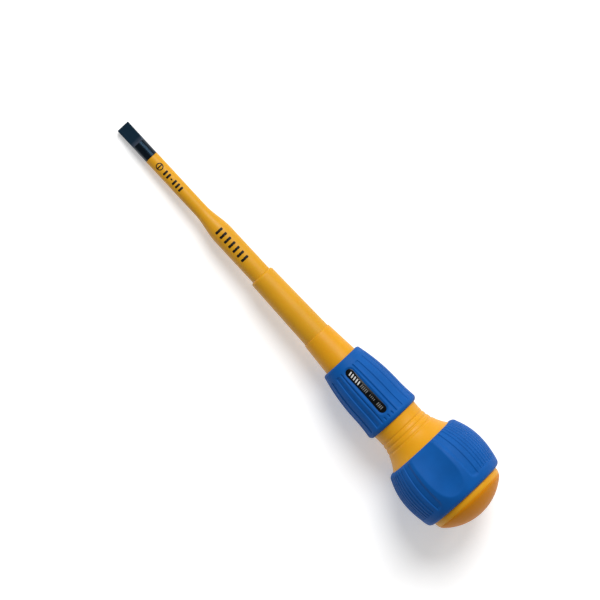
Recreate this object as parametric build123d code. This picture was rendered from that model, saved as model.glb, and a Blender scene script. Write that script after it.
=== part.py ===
from build123d import *
from math import cos, radians, sin
import os

# Insulated ball-grip screwdriver with a 5 mm slotted tip, in millimetres.
# X is the tool axis. The origin is the centre of the blade's end edge, and +X runs back to the dome.
# +Z points out of the label plate. Stations are distances from the blade's end, and radii are from the axis.

# Blade
SHANK_R = 2.5            # bare shank, and the rod behind the flare
TIP_THICKNESS = 0.8      # of the slotted tip at its end
TIP_ROOT_HALF = 1.1      # half thickness where the ground flats start to run out
FLAT_END = 7.0           # station where the run-out starts
RUN_OUT_MIDDLE = (7.9, 1.55)
RUN_OUT_END = 8.3        # station where the flats meet the round shank
BARE_END = 14.8          # bare steel, kept under the 15 mm that an insulated slotted driver may show
CORE_R = 1.7             # steel under the slim insulation
BLADE_END = 164.0
TAIL_CHAMFER = 0.6
WING_STATION = 153.0     # middle of the swaged wings that carry the torque
WING_SIZE = (11.0, 8.4, 2.6)
WING_CHAMFER = 1.2

# Insulation on the shaft
SLIM_R = 2.525
SLIM_END = 40.2
FLARE_END = 51.8
THICK_R = 3.85
TAIL_R = 3.5             # under the collar and in the hard core
INSULATION_END = 124.0
MOUTH_CHAMFER = 0.25

# Collar: the second layer, from the first step into the handle
COLLAR_START = 71.4
COLLAR_FOOT_R = 4.0
COLLAR_SHOULDER = (71.7, 4.4)
COLLAR_FRONT = (72.4, 4.68)
COLLAR_REAR_R = 5.3
COLLAR_END = 118.0

# Handle body
BODY_START = 100.0
NOSE_CHAMFER = 0.3
NOSE_FRONT_R = 5.65
NOSE_REAR_R = 6.6
SLEEVE_START = 112.4
SLEEVE_END = 140.0
SLEEVE_SEAT_REAR_R = 8.5
WAIST_STATION = 142.5    # where the waist is narrowest
WAIST_R = 9.17
WAIST_CURVE_R = 18.0
GRIP_START = 153.7
GRIP_END = 176.5
GRIP_SEAT_FRONT_R = 12.9
GRIP_SEAT_MIDDLE = (165.5, 15.0)
GRIP_SEAT_REAR_R = 13.8
BAND_R = 14.45
BODY_END = 178.8
KEY_ANGLES = (30, 90, 150, 210, 270, 330)
KEY_HEIGHT = 0.7
KEY_HALF_WIDTH = 1.0
KEY_SPANS = ((115.0, 137.0), (157.0, 173.0))
RING_STATIONS = (144.3, 146.2, 148.2)
RING_CUTTER_R = 0.5
RING_DEPTH = 0.15

# Hard core round the tail of the blade
HARD_CORE_R = 6.2
HARD_CORE_BALL_R = 10.6
HARD_CORE_SWELL = (148.0, 157.0)
HARD_CORE_SHOULDER = 171.0
BOSS_R = 8.0
BOSS_END = 176.0

# End cap, and the rounding that leads from the band of the body into the dome
OVERALL = 185.1
DOME_R = 19.7
DOME_CENTRE = OVERALL - DOME_R
RIM_R = 4.0
RIM_START = DOME_CENTRE + ((DOME_R - RIM_R) ** 2 - (BAND_R - RIM_R) ** 2) ** 0.5
RIM_END = DOME_CENTRE + (RIM_START - DOME_CENTRE) * DOME_R / (DOME_R - RIM_R)
SPIGOT_R = 11.0
SPIGOT_START = 173.0

# Front sleeve
SLEEVE_FRONT_FACE_R = 7.3
SLEEVE_FRONT_CORNER = (112.65, 7.8)
SLEEVE_CORNER_END = 113.4
SLEEVE_CREST = 130.5     # station where the long outside curve is level
SLEEVE_CREST_R = 10.32
SLEEVE_FRONT_CURVE_R = 70.0
SLEEVE_LIP_CURVE_R = -60.0
LIP_STATION = 138.4
LIP_CORNER = (139.5, 10.5)
LIP_FACE_R = 9.8
GROOVE_ANGLES = (-18, *range(54, 324, 18), 18)
WIDE_GROOVE_ANGLES = (-31.3, 31.3)
GROOVE_HALF_WIDTH = 0.45
WIDE_GROOVE_HALF_WIDTH = 0.85
GROOVE_DEPTH = 0.35
GROOVE_SPAN = (115.8, 138.3)
STUB_ANGLES = (-9, 0, 9)
STUB_SPAN = (136.8, 138.3)

# Label plate, a long plate with round ends
LABEL_SPAN = (116.0, 135.8)
LABEL_WIDTH = 3.3
LABEL_SINK = 0.35        # below the outside of the sleeve
LABEL_THICKNESS = 0.8

# Ball grip
GRIP_FRONT_FACE_R = 13.9
GRIP_FRONT_CORNER = (154.15, 14.95)
GRIP_FRONT_CORNER_END = 155.4
GRIP_CREST = 166.0
GRIP_CREST_R = 18.05
GRIP_FRONT_CURVE_R = 25.0
GRIP_REAR_CURVE_R = 32.0
GRIP_REAR_CORNER_START = 175.0
GRIP_REAR_CORNER = (176.15, 16.0)
GRIP_REAR_FACE_R = 15.2
SECTOR_ANGLES = (0, 120, 240)
PANEL_TURN = 60          # from the middle of a dimple to the middle of the next panel
DIMPLE_AXIS_HEIGHT = 46.6
DIMPLE_FLOOR = ((151.5, 12.85), (158.0, 15.33), (164.0, 16.5), (170.0, 16.7), (178.0, 18.6))
PANEL_HALF_ANGLE = 37.5
PANEL_END = 173.8
PANEL_DEPTH = 0.15
CHANNEL_DEPTH = 0.45     # of the channels along the two sides of a panel
CHANNEL_INNER_ANGLE = 25.2
RIB_GROOVE_ANGLES = (-18.2, -13.0, -7.8, -2.6, 2.6, 7.8, 13.0, 18.2)
RIB_GROOVE_HALF_WIDTH = 0.3
RIB_GROOVE_DEPTH = 0.4
RIB_GROOVE_END = 173.0

FAR = 30.0               # beyond every radius of the tool
CLEAR = 1.0              # how far a cutter runs past an open end


def turned(*edges):
    """Solid of revolution about the tool axis, from edges drawn as (station, radius)."""
    return revolve(make_face(edges), Axis.X)


def disc(start, end, radius):
    """Cylinder on the tool axis between two stations."""
    return Pos((start + end) / 2, 0, 0) * Rot(Y=90) * Cylinder(radius, end - start)


def bar(span, half_width, angle):
    """Flat bar that stands on the tool axis over a span of stations, turned about the axis from +Z."""
    start, end = span
    return Rot(X=angle) * Pos((start + end) / 2, 0, FAR / 2) * Box(end - start, 2 * half_width, FAR)


def curve_point(station, crest, crest_r, curve_r, inset=0.0):
    """Point on an arc that is level at its crest. A negative curve_r bends outwards."""
    drop = abs(curve_r) - (curve_r**2 - (station - crest) ** 2) ** 0.5
    return station, crest_r - inset - (drop if curve_r > 0 else -drop)


def curve(start, end, *shape):
    """Arc between two stations on the curve that curve_point gives."""
    return ThreePointArc(*[curve_point(s, *shape) for s in (start, (start + end) / 2, end)])


def make_blade():
    """Round steel with ground flats, a reduced core, a rod and a winged tail."""
    rod = turned(
        Polyline(
            (0, 0), (0, SHANK_R), (BARE_END, SHANK_R), (BARE_END, CORE_R), (SLIM_END, CORE_R),
            (FLARE_END, SHANK_R), (BLADE_END - TAIL_CHAMFER, SHANK_R),
            (BLADE_END, SHANK_R - TAIL_CHAMFER), (BLADE_END, 0), (0, 0),
        )
    )
    flat = Polyline(
        (RUN_OUT_END, SHANK_R), (RUN_OUT_END, SHANK_R + CLEAR), (-CLEAR, SHANK_R + CLEAR),
        (-CLEAR, TIP_THICKNESS / 2), (0, TIP_THICKNESS / 2), (FLAT_END, TIP_ROOT_HALF),
    )
    run_out = ThreePointArc((FLAT_END, TIP_ROOT_HALF), RUN_OUT_MIDDLE, (RUN_OUT_END, SHANK_R))
    grinding = extrude(Plane.XZ * make_face([flat, run_out]), SHANK_R + CLEAR, both=True)
    wings = Pos(WING_STATION, 0, 0) * Box(*WING_SIZE)
    wings = chamfer(wings.edges().filter_by(Axis.Z), WING_CHAMFER)
    return rod + wings - grinding - mirror(grinding, Plane.XY)


def insulation_blank():
    """Outside of the shaft insulation: slim part, flare, thick part and the tail that the collar grips."""
    return turned(
        Polyline(
            (BARE_END, 0), (BARE_END, SLIM_R - MOUTH_CHAMFER), (BARE_END + MOUTH_CHAMFER, SLIM_R),
            (SLIM_END, SLIM_R),
        ),
        Spline((SLIM_END, SLIM_R), (FLARE_END, THICK_R), tangents=[(1, 0), (1, 0)]),
        Polyline(
            (FLARE_END, THICK_R), (COLLAR_START, THICK_R), (COLLAR_START, TAIL_R),
            (INSULATION_END, TAIL_R), (INSULATION_END, 0), (BARE_END, 0),
        ),
    )


def collar_blank():
    """Outside of the collar: rounded front shoulder, slow taper and straight tail in the handle."""
    foot = (COLLAR_START, COLLAR_FOOT_R)
    return turned(
        Line((COLLAR_START, 0), foot),
        ThreePointArc(foot, COLLAR_SHOULDER, COLLAR_FRONT),
        Polyline(
            COLLAR_FRONT, (BODY_START, COLLAR_REAR_R), (COLLAR_END, COLLAR_REAR_R),
            (COLLAR_END, 0), (COLLAR_START, 0),
        ),
    )


def hard_core_blank():
    """Outside of the hard core: straight in front, swollen in the ball, with a boss for the end cap."""
    swell_start, swell_end = HARD_CORE_SWELL
    return turned(
        Polyline((COLLAR_END, 0), (COLLAR_END, HARD_CORE_R), (swell_start, HARD_CORE_R)),
        Spline((swell_start, HARD_CORE_R), (swell_end, HARD_CORE_BALL_R), tangents=[(1, 0), (1, 0)]),
        Polyline(
            (swell_end, HARD_CORE_BALL_R), (HARD_CORE_SHOULDER, HARD_CORE_BALL_R),
            (SPIGOT_START, BOSS_R), (BOSS_END, BOSS_R), (BOSS_END, 0), (COLLAR_END, 0),
        ),
    )


def body_blank():
    """Outside of the handle body with its seats for the two soft grips and the keys that hold them."""
    nose = Polyline(
        (BODY_START, 0), (BODY_START, NOSE_FRONT_R - NOSE_CHAMFER), (BODY_START + NOSE_CHAMFER, NOSE_FRONT_R),
        (SLEEVE_START, NOSE_REAR_R), (SLEEVE_END, SLEEVE_SEAT_REAR_R),
    )
    waist = (WAIST_STATION, WAIST_R, -WAIST_CURVE_R)
    waist_start, waist_end = curve_point(SLEEVE_END, *waist), curve_point(GRIP_START, *waist)
    seat_start, seat_end = (GRIP_START, GRIP_SEAT_FRONT_R), (GRIP_END, GRIP_SEAT_REAR_R)
    rim = (RIM_START, BAND_R, RIM_R)
    body = turned(
        nose,
        Line((SLEEVE_END, SLEEVE_SEAT_REAR_R), waist_start),
        curve(SLEEVE_END, GRIP_START, *waist),
        Line(waist_end, seat_start),
        ThreePointArc(seat_start, GRIP_SEAT_MIDDLE, seat_end),
        Polyline(seat_end, (GRIP_END, BAND_R), (RIM_START, BAND_R)),
        curve(RIM_START, BODY_END, *rim),
        Polyline(curve_point(BODY_END, *rim), (BODY_END, 0), (BODY_START, 0)),
    )
    for station in RING_STATIONS:
        ring_r = curve_point(station, *waist)[1] + RING_CUTTER_R - RING_DEPTH
        body -= revolve(Pos(station, ring_r) * Circle(RING_CUTTER_R), Axis.X)
    return body + keys()


def keys():
    """Lengthwise keys for the two seats of the body, KEY_HEIGHT above the seat that they stand on."""
    top = KEY_HEIGHT
    seat_middle = (GRIP_SEAT_MIDDLE[0], GRIP_SEAT_MIDDLE[1] + top)
    sleeve_seat = turned(
        Polyline(
            (SLEEVE_START, 0), (SLEEVE_START, NOSE_REAR_R + top), (SLEEVE_END, SLEEVE_SEAT_REAR_R + top),
            (SLEEVE_END, 0), (SLEEVE_START, 0),
        )
    )
    grip_seat = turned(
        Line((GRIP_START, 0), (GRIP_START, GRIP_SEAT_FRONT_R + top)),
        ThreePointArc(
            (GRIP_START, GRIP_SEAT_FRONT_R + top), seat_middle, (GRIP_END, GRIP_SEAT_REAR_R + top)
        ),
        Polyline((GRIP_END, GRIP_SEAT_REAR_R + top), (GRIP_END, 0), (GRIP_START, 0)),
    )
    bars = [bar(span, KEY_HALF_WIDTH, angle) for span in KEY_SPANS for angle in KEY_ANGLES]
    return (sleeve_seat + grip_seat) & (Part() + bars)


def cap_blank():
    """Dome with the rest of the rounding, and a spigot that plugs into the rear of the handle body."""
    rim, ball = (RIM_START, BAND_R, RIM_R), (DOME_CENTRE, DOME_R, DOME_R)
    middle = curve_point((RIM_END + OVERALL) / 2, *ball)
    return turned(
        Polyline(
            (SPIGOT_START, 0), (SPIGOT_START, SPIGOT_R), (BODY_END, SPIGOT_R), curve_point(BODY_END, *rim)
        ),
        curve(BODY_END, RIM_END, *rim),
        ThreePointArc(curve_point(RIM_END, *rim), middle, (OVERALL, 0)),
        Line((OVERALL, 0), (SPIGOT_START, 0)),
    )


def sleeve_blank(inset=0.0):
    """Outside of the front sleeve down to the axis, lowered by inset."""
    front_shape = (SLEEVE_CREST, SLEEVE_CREST_R, SLEEVE_FRONT_CURVE_R, inset)
    lip_shape = (SLEEVE_CREST, SLEEVE_CREST_R, SLEEVE_LIP_CURVE_R, inset)
    corner_r, lip_corner_r = SLEEVE_FRONT_CORNER[1] - inset, LIP_CORNER[1] - inset
    front, lip_face = (SLEEVE_START, SLEEVE_FRONT_FACE_R - inset), (SLEEVE_END, LIP_FACE_R - inset)
    corner_end = curve_point(SLEEVE_CORNER_END, *front_shape)
    return turned(
        Line((SLEEVE_START, 0), front),
        ThreePointArc(front, (SLEEVE_FRONT_CORNER[0], corner_r), corner_end),
        curve(SLEEVE_CORNER_END, SLEEVE_CREST, *front_shape),
        curve(SLEEVE_CREST, LIP_STATION, *lip_shape),
        ThreePointArc(curve_point(LIP_STATION, *lip_shape), (LIP_CORNER[0], lip_corner_r), lip_face),
        Polyline(lip_face, (SLEEVE_END, 0), (SLEEVE_START, 0)),
    )


def label_prism():
    """Upright prism with the outline of the label plate, above the tool axis."""
    start, end = LABEL_SPAN
    outline = Pos((start + end) / 2, 0) * SlotOverall(end - start, LABEL_WIDTH)
    return extrude(outline, FAR)


def make_label_plate():
    """Curved plate that follows the sleeve, sunk by LABEL_SINK."""
    return (sleeve_blank(LABEL_SINK) - sleeve_blank(LABEL_SINK + LABEL_THICKNESS)) & label_prism()


def make_front_sleeve(body):
    """Soft sleeve with lengthwise grooves, a pocket for the label plate and three stub grooves behind it."""
    grooves = [bar(GROOVE_SPAN, GROOVE_HALF_WIDTH, angle) for angle in GROOVE_ANGLES]
    grooves += [bar(GROOVE_SPAN, WIDE_GROOVE_HALF_WIDTH, angle) for angle in WIDE_GROOVE_ANGLES]
    grooves += [bar(STUB_SPAN, GROOVE_HALF_WIDTH, angle) for angle in STUB_ANGLES]
    pocket = label_prism() - sleeve_blank(LABEL_SINK + LABEL_THICKNESS)
    return sleeve_blank() - body - (Part() + grooves - sleeve_blank(GROOVE_DEPTH)) - pocket


def grip_blank(inset=0.0):
    """Outside of the ball grip down to the axis, lowered by inset."""
    front_shape = (GRIP_CREST, GRIP_CREST_R, GRIP_FRONT_CURVE_R, inset)
    rear_shape = (GRIP_CREST, GRIP_CREST_R, GRIP_REAR_CURVE_R, inset)
    front, rear = (GRIP_START, GRIP_FRONT_FACE_R - inset), (GRIP_END, GRIP_REAR_FACE_R - inset)
    front_corner = (GRIP_FRONT_CORNER[0], GRIP_FRONT_CORNER[1] - inset)
    rear_corner = (GRIP_REAR_CORNER[0], GRIP_REAR_CORNER[1] - inset)
    return turned(
        Line((GRIP_START, 0), front),
        ThreePointArc(front, front_corner, curve_point(GRIP_FRONT_CORNER_END, *front_shape)),
        curve(GRIP_FRONT_CORNER_END, GRIP_CREST, *front_shape),
        curve(GRIP_CREST, GRIP_REAR_CORNER_START, *rear_shape),
        ThreePointArc(curve_point(GRIP_REAR_CORNER_START, *rear_shape), rear_corner, rear),
        Polyline(rear, (GRIP_END, 0), (GRIP_START, 0)),
    )


def dimple_cutter():
    """Barrel turned about an axis far above the grip, whose waist is the floor of a thumb dimple."""
    start, end = DIMPLE_FLOOR[0], DIMPLE_FLOOR[-1]
    high = DIMPLE_AXIS_HEIGHT
    outline = make_face([Spline(*DIMPLE_FLOOR), Polyline(end, (end[0], high), (start[0], high), start)])
    return revolve(Plane.XZ * outline, Axis((0, 0, high), (1, 0, 0)))


def panel_sector(half_angle):
    """Wedge round +Z from in front of the ball grip to the rear end of a panel."""
    side, up = FAR * sin(radians(half_angle)), FAR * cos(radians(half_angle))
    wedge = make_face(Polyline((0, 0), (-side, up), (0, 2 * FAR), (side, up), (0, 0)))
    return extrude(Plane.YZ.offset(GRIP_START - CLEAR) * wedge, PANEL_END - GRIP_START + CLEAR)


def panel_cutter():
    """Shallow sunk panel centred on +Z, with lengthwise rib grooves and a deeper channel along each side."""
    sector = panel_sector(PANEL_HALF_ANGLE)
    channels = sector - panel_sector(CHANNEL_INNER_ANGLE) - grip_blank(CHANNEL_DEPTH)
    groove_span = (GRIP_START - CLEAR, RIB_GROOVE_END)
    grooves = Part() + [bar(groove_span, RIB_GROOVE_HALF_WIDTH, angle) for angle in RIB_GROOVE_ANGLES]
    return (sector - grip_blank(PANEL_DEPTH)) + channels + (grooves - grip_blank(RIB_GROOVE_DEPTH))


def make_ball_grip(body):
    """Soft ball with a thumb dimple in the middle of each sector and a ribbed panel between two dimples."""
    grip = grip_blank() - body
    dimple, panel = dimple_cutter(), panel_cutter()
    for angle in SECTOR_ANGLES:
        grip -= Rot(X=angle) * dimple
        grip -= Rot(X=angle + PANEL_TURN) * panel
    return grip


blade = make_blade()
insulation = insulation_blank()
collar = collar_blank()
hard_core = hard_core_blank()
body = body_blank()
cap = cap_blank()

pieces = {
    "blade": blade,
    "shaft_insulation": insulation - blade,
    "shaft_collar": collar - insulation,
    "handle_core": hard_core - insulation - blade,
    "handle_body": body - collar - hard_core - cap,
    "end_cap": cap - hard_core,
    "front_sleeve": make_front_sleeve(body),
    "label_plate": make_label_plate(),
    "ball_grip": make_ball_grip(body),
}

os.makedirs("parts", exist_ok=True)
for name, piece in pieces.items():
    piece.label = name
    export_step(piece, f"parts/{name}.step")
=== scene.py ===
import math

import bpy
import numpy as np
from bpy.props import FloatProperty, FloatVectorProperty, IntProperty, PointerProperty
from bpy.types import Operator, Panel, PropertyGroup
from mathutils import Matrix, Vector


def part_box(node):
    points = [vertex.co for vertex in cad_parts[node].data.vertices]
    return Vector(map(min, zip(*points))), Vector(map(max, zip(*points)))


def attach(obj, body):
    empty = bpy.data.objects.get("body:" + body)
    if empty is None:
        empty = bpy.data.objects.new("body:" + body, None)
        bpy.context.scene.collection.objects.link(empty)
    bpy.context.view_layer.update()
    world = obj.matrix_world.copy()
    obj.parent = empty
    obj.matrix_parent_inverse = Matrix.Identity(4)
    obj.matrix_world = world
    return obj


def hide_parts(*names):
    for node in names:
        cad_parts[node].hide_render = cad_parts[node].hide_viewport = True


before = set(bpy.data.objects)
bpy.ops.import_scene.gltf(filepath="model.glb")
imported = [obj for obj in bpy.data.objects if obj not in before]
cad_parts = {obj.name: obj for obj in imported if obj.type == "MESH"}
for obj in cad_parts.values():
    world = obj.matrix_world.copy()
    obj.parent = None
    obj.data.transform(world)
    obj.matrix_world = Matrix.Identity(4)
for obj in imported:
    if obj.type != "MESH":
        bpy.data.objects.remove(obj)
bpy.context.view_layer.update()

bl_info = {
    "name": "Insulated ball-grip screwdriver",
    "version": (1, 0, 0),
    "blender": (4, 5, 0),
    "location": "View3D > Sidebar > Screwdriver",
    "description": "Builds the visible pieces of an insulated slotted screwdriver round its CAD frame",
    "category": "Add Mesh",
}

# X is the tool axis, from the blade's end at 0 to the dome. Angles round it are counted from +Z towards +Y.
# Outlines are drawn as (station, radius), in metres.
MM = 0.001
SAME_POINT = 1e-7       # points of an outline closer than this are one point
FINE_EDGE = 0.1 * MM    # bevel of a hard edge, and half of a crisp change of finish
POLE_RING = 0.4 * MM    # radius of the points round the middle of a flat face

# Points round a piece, and along an arc
COLUMNS = 192
FINE_COLUMNS = 256
BLADE_COLUMNS = 288
SLEEVE_COLUMNS = 560
BALL_COLUMNS = 760
ARC_STEPS = 8
GROOVE_CROWD = 2.5      # extra columns at a groove, for each column elsewhere
WALL_CROWD = 3          # extra columns at a crisp wall
LABEL_ZONE = 0.33       # radians from the label's middle that get extra columns
WALL_ZONE = 0.04        # radians on each side of a crisp wall of the sleeve that get extra columns

# Blade
TIP_EDGE = 0.06 * MM    # length of the fine bevel at the blade's end
TIP_EDGE_DEPTH = 0.3 * TIP_EDGE
FLAT_EDGE = 0.05 * MM   # rounding where a ground flat meets the round shank
RUN_OUT_MIDDLE = 0.69   # where the run-out has its middle height, as a share of its length
BLOCK_POWER = 8         # of the superellipse that outlines the wings

# Middles of rounded corners: shares of the corner's length and height
EDGE_SHARE = 0.3
COLLAR_SHOULDER = (0.26, 0.6)
# The same, as (station from the end of the piece, radius)
SLEEVE_FRONT_CORNER = (0.25 * MM, 7.85 * MM)
SLEEVE_LIP_CORNER = (-0.5 * MM, 10.5 * MM)
BALL_FRONT_CORNER = (0.45 * MM, 14.95 * MM)
BALL_REAR_CORNER = (-0.35 * MM, 16.0 * MM)

# Label and channels of the front sleeve
CHANNEL_SOFT_SIDE = (-0.03, 0.1)    # radians from channel_from
CHANNEL_CRISP_SIDE = 0.03           # radians in front of channel_to
WELL_SHARE = 0.6        # depth of the hollow under the label plate, as a share of its thickness
WELL_WALL = 0.25 * MM
PLATE_EDGE = 0.05 * MM  # bevel of the label plate

# Floor of a thumb dimple, as (station, height over the axis) in millimetres
DIMPLE_FLOOR = ((151.5, 12.85), (158.0, 15.33), (164.0, 16.5), (170.0, 16.7), (178.0, 18.6))

# Ink over the surface at its top and its edge, its foot under the surface, and the width of its edge
INK_TOP, INK_EDGE, INK_FOOT, INK_BEVEL = 0.02 * MM, 0.01 * MM, -0.03 * MM, 0.03 * MM
INK_POWER = 6           # of the superellipse that outlines a bar

# Printed marks in millimetres. Bars are rows of (stations, size along the tool, size across it).
SLOT_RING = (19.3, 1.4, 1.0)        # station, outer radius and inner radius
SHAFT_BARS = (
    ((19.3,), 0.5, 2.2),
    ((22.3, 23.9, 26.9, 28.5, 30.1), 0.85, 2.2),
    ((25.4,), 0.8, 0.5),
    ((50.0, 52.2, 54.4, 56.6, 58.8, 61.0, 63.2), 1.0, 3.2),
)
BOLD_BARS = (((117.8, 118.9, 120.0, 121.1, 122.2), 0.5, 1.5),)
BOLD_LEAN = -0.2
FINE_BARS = (
    ((123.5, 124.2, 124.9, 125.6, 126.3, 131.9, 132.6, 133.3, 134.0), 0.32, 1.3),
    ((128.0, 128.7, 129.4, 130.1), 0.25, 0.8),
)

# Stage
FLOOR_GAP = 0.05 * MM
FLOOR_REACH, FLOOR_STEPS = 3.0, 12
LIGHTS = (              # name, direction from the tool, size in metres and power in watts
    ("key_light", (-0.36, 0.55, 0.74), 1.2, 40.0),
    ("edge_light", (0.0, 0.85, 0.53), 0.5, 5.0),
)
LIGHT_AIM, LIGHT_DISTANCE = (0.1, 0, 0), 2.0
WORLD_STRENGTH = 0.38
CAMERA_LEAN, CAMERA_ROLL = math.radians(3.3), math.radians(47.156)
CAMERA_DISTANCE, CAMERA_VIEW, CAMERA_SENSOR = 1.65, 210.5 * MM, 36.0
CAMERA_AIM = (87.0 * MM, 4.15 * MM)     # along the tool axis, and square to it across the view


def span(node):
    """First and last station of a CAD node along the tool axis."""
    low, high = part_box(node)
    return low.x, high.x


def settings(context, *names):
    """The scene's groups of settings with the given names."""
    return [getattr(context.scene, "screwdriver_" + name) for name in names]


# ---------------------------------------------------------------- settings


def length(name, millimetres, description):
    """A length setting. Its default is given in millimetres and kept in metres."""
    return FloatProperty(
        name=name, description=description, default=millimetres * MM, min=0.0, precision=5,
        subtype="DISTANCE", unit="LENGTH",
    )


def degrees(name, value, description):
    """An angle setting. Its default is given in degrees and kept in radians."""
    return FloatProperty(
        name=name, description=description, default=math.radians(value), subtype="ANGLE", unit="ROTATION",
    )


def colour(name, rgb, description):
    """A colour setting in linear light."""
    return FloatVectorProperty(
        name=name, description=description, default=rgb, size=3, min=0.0, max=1.0, subtype="COLOR",
    )


class BladeSizes(PropertyGroup):
    """Sizes of the blade's bare end and of the wings on its tail."""

    tip_half: length("Tip half thickness", 0.4, "Half of the thickness at the blade's end")
    flat_half: length("Flat half thickness", 1.1, "Half of the thickness where the flats start to run out")
    flat_end: length("Flat end", 7.0, "Station where the flats start to run out")
    runout_end: length("Run-out end", 8.3, "Station where the round shank starts")
    runout_middle: length("Run-out middle", 1.55, "Half thickness in the middle of the run-out")
    shank_radius: length("Shank radius", 2.5, "Radius of the round bare shank")
    # Painted highlight: from this station the flats' colour brightens towards the run-out, standing in for
    # the light's reflection on its curve.
    highlight_start: length("Bright start", 6.4, "Station where the ground steel starts to turn brighter")
    gloss_start: length("Gloss start", 8.2, "Station where the steel turns glossy")
    tail_chamfer: length("Tail chamfer", 0.6, "Chamfer at the hidden end of the blade")
    wing_station: length("Wing station", 153.0, "Middle of the wings on the tail")
    wing_length: length("Wing length", 11.0, "Length of the wings along the tool")
    wing_span: length("Wing span", 8.4, "From the edge of one wing to the edge of the other")
    wing_thickness: length("Wing thickness", 2.6, "Thickness of the wings")


class ShaftSizes(PropertyGroup):
    """Sizes of the blade's insulation and the collar."""

    core_radius: length("Core radius", 1.7, "Steel under the slim insulation")
    rod_radius: length("Rod radius", 2.5, "Steel behind the flare")
    slim_radius: length("Slim radius", 2.525, "Slim part of the insulation")
    slim_end: length("Slim end", 40.2, "Station where the flare starts")
    flare_end: length("Flare end", 51.8, "Station where the flare ends")
    thick_radius: length("Thick radius", 3.85, "Thick part of the insulation")
    tail_radius: length("Tail radius", 3.5, "Insulation under the collar")
    mouth_round: length("Mouth rounding", 0.25, "Rounding of the insulation's front edge")
    collar_foot: length("Collar foot", 4.0, "Radius where the collar's shoulder starts")
    collar_front: length("Collar front radius", 4.68, "Radius behind the collar's shoulder")
    collar_rear: length("Collar rear radius", 5.3, "Radius where the collar enters the handle")
    shoulder: length("Shoulder length", 1.0, "Length of the collar's rounded shoulder")


class HandleSizes(PropertyGroup):
    """Sizes of the hard parts of the handle."""

    nose_front: length("Nose front radius", 5.65, "Nose ring at its front")
    nose_rear: length("Nose rear radius", 6.6, "Nose ring at the front sleeve")
    nose_round: length("Nose rounding", 0.3, "Rounding of the nose ring's front edge")
    core_front: length("Core front radius", 6.2, "Hard core in the front sleeve")
    core_ball: length("Core ball radius", 10.6, "Hard core in the ball")
    core_boss: length("Core boss radius", 8.0, "Boss that the end cap sits on")
    swell_start: length("Swell start", 148.0, "Station where the core starts to swell")
    swell_end: length("Swell end", 157.0, "Station where the core is fully swollen")
    core_shoulder: length("Core shoulder", 171.0, "Station where the core narrows towards its boss")
    sleeve_seat: length("Sleeve seat radius", 8.5, "Seat at the rear of the front sleeve")
    waist_station: length("Waist station", 142.5, "Where the waist is narrowest")
    waist_radius: length("Waist radius", 9.17, "Radius of the waist at its narrowest")
    waist_curve: length("Waist curve", 18.0, "Radius of the waist's curve along the tool")
    ring_count: IntProperty(name="Ring grooves", description="Ring grooves on the waist", default=3, min=0)
    ring_first: length("First ring groove", 144.3, "Station of the first ring groove on the waist")
    ring_pitch: length("Ring pitch", 1.95, "From one ring groove to the next")
    ring_width: length("Ring width", 1.2, "Width of a ring groove")
    ring_depth: length("Ring depth", 0.22, "Depth of a ring groove")
    grip_seat_front: length("Grip seat front radius", 12.9, "Seat at the front of the ball grip")
    grip_seat_station: length("Grip seat station", 165.5, "Station of the seat's middle in the ball grip")
    grip_seat_middle: length("Grip seat middle radius", 15.0, "Seat in the middle of the ball grip")
    grip_seat_rear: length("Grip seat rear radius", 13.8, "Seat at the rear of the ball grip")
    band_radius: length("Band radius", 14.45, "Band behind the ball grip")
    rim_round: length("Rim rounding", 4.0, "Rounding that leads from the band into the dome")
    dome_radius: length("Dome radius", 19.7, "Ball that the dome is a slice of")
    seam_half: length("Seam half width", 0.15, "Half of the fine line between handle body and end cap")
    seam_depth: length("Seam depth", 0.12, "Depth of that line")
    spigot_radius: length("Spigot radius", 11.0, "Plug of the end cap")


class SleeveSizes(PropertyGroup):
    """Sizes of the front sleeve and of the label plate in it."""

    front_face: length("Front face radius", 7.3, "Front face before its rounded corner")
    front_round: length("Front rounding", 1.0, "Length of the rounded front corner")
    crest: length("Crest station", 130.5, "Where the long outside curve is level")
    crest_radius: length("Crest radius", 10.32, "Radius at the crest")
    front_curve: length("Front curve", 70.0, "Radius of the outside curve in front of the crest")
    lip_curve: length("Lip curve", 60.0, "Radius of the flared curve behind the crest")
    lip_round: length("Lip rounding", 1.6, "Length of the rounded rear corner")
    lip_face: length("Lip face radius", 9.8, "Rear face after its rounded corner")
    groove_count: IntProperty(name="Grooves", description="Grooves round the sleeve", default=20, min=3)
    groove_width: length("Groove width", 0.95, "Width of a lengthwise groove")
    groove_depth: length("Groove depth", 0.38, "Depth of a lengthwise groove")
    groove_start: length("Groove start", 116.2, "Station where the grooves start")
    groove_end: length("Groove end", 137.9, "Station where the grooves end")
    channel_from: degrees("Channel from", 25.0, "Label side of the wide channels, from the label's middle")
    channel_to: degrees("Channel to", 35.8, "Crisp side of the wide channels, from the label's middle")
    channel_depth: length("Channel depth", 0.32, "Depth of the wide channels")
    channel_fade: length("Channel fade", 0.4, "Length of the step at both ends of a wide channel")
    stub_start: length("Stub groove start", 137.2, "Station where the stub grooves behind the label start")
    label_width: length("Label width", 3.3, "Width of the label plate")
    label_sink: length("Label sink", 0.35, "How far the plate lies under the outside of the sleeve")
    label_thickness: length("Label thickness", 0.8, "Thickness of the plate")
    label_rim: length("Label rim", 0.7, "Width of the bevel round the plate")


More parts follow.
